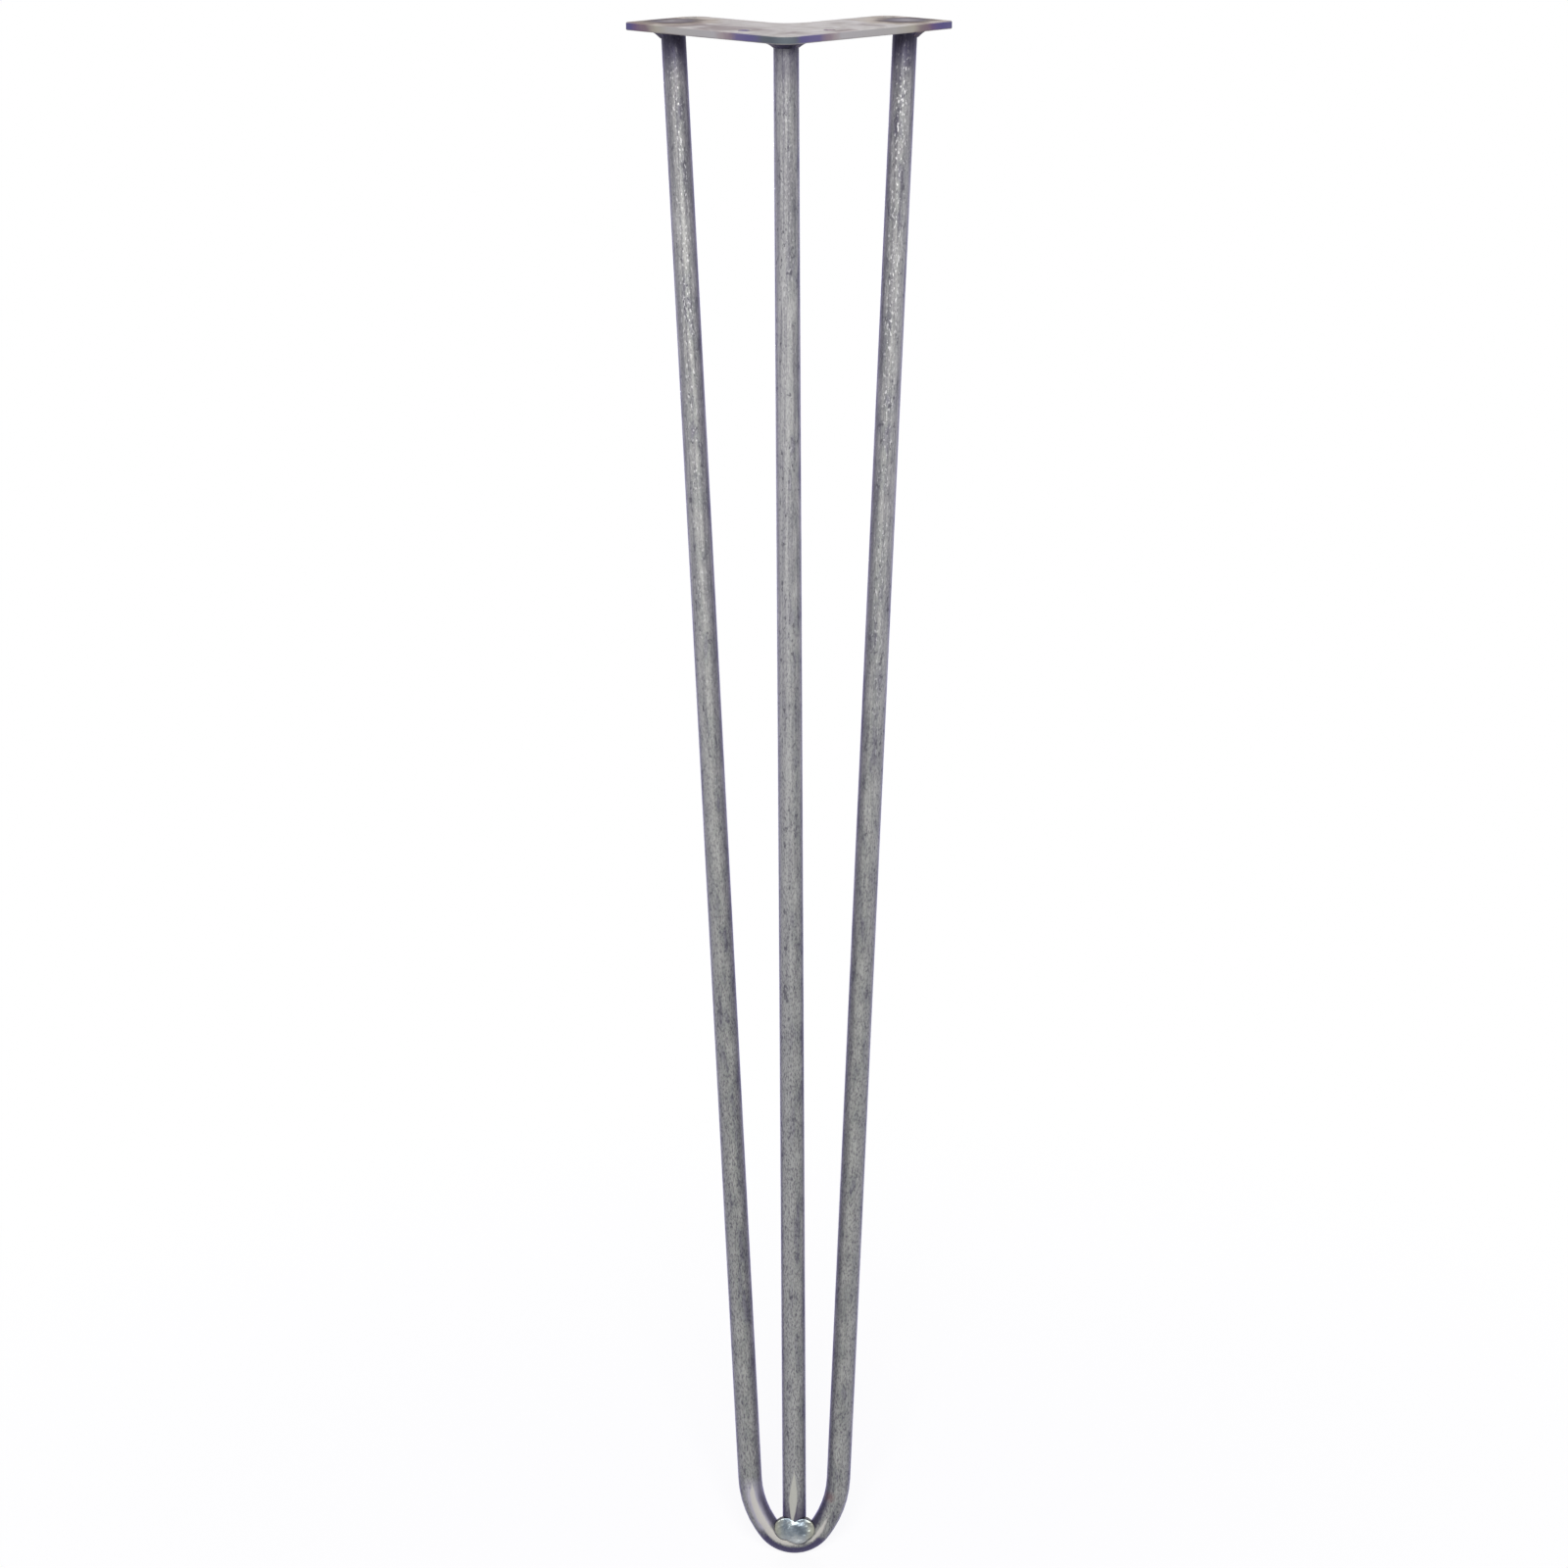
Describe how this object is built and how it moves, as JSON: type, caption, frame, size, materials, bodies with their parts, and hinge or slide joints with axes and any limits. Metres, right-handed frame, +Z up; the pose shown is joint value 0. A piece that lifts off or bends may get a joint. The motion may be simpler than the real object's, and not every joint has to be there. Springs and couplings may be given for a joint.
{
  "type": "hairpin table leg",
  "caption": "Hairpin table leg in raw steel: a rod bent into a long U and a straight centre rod, welded under a chevron plate that screws to the underside of a table top.",
  "frame": {"origin": "on the plate's top face, where the centrelines of its two arms cross", "axes": "+Z up, out of the plate's top face towards the table top; the plate's outer corner and the foot face -Y; X across the leg"},
  "size_m": [0.1458, 0.1067, 0.7112],
  "materials": {
    "plate_steel": "satin cold-finished steel with heat colours near the welds",
    "rod_steel": "raw hot-rolled bar with mottled mill scale",
    "plate_weld_steel": "oxidised weld metal",
    "foot_weld_steel": "smooth, glossy weld metal"
  },
  "bodies": {
    "root": {"mounting_plate": "plate_steel", "hairpin_rod": "rod_steel", "centre_rod": "rod_steel", "plate_weld_left": "plate_weld_steel", "plate_weld_right": "plate_weld_steel", "plate_weld_centre": "plate_weld_steel", "foot_weld": "foot_weld_steel"}
  },
  "joints": []
}
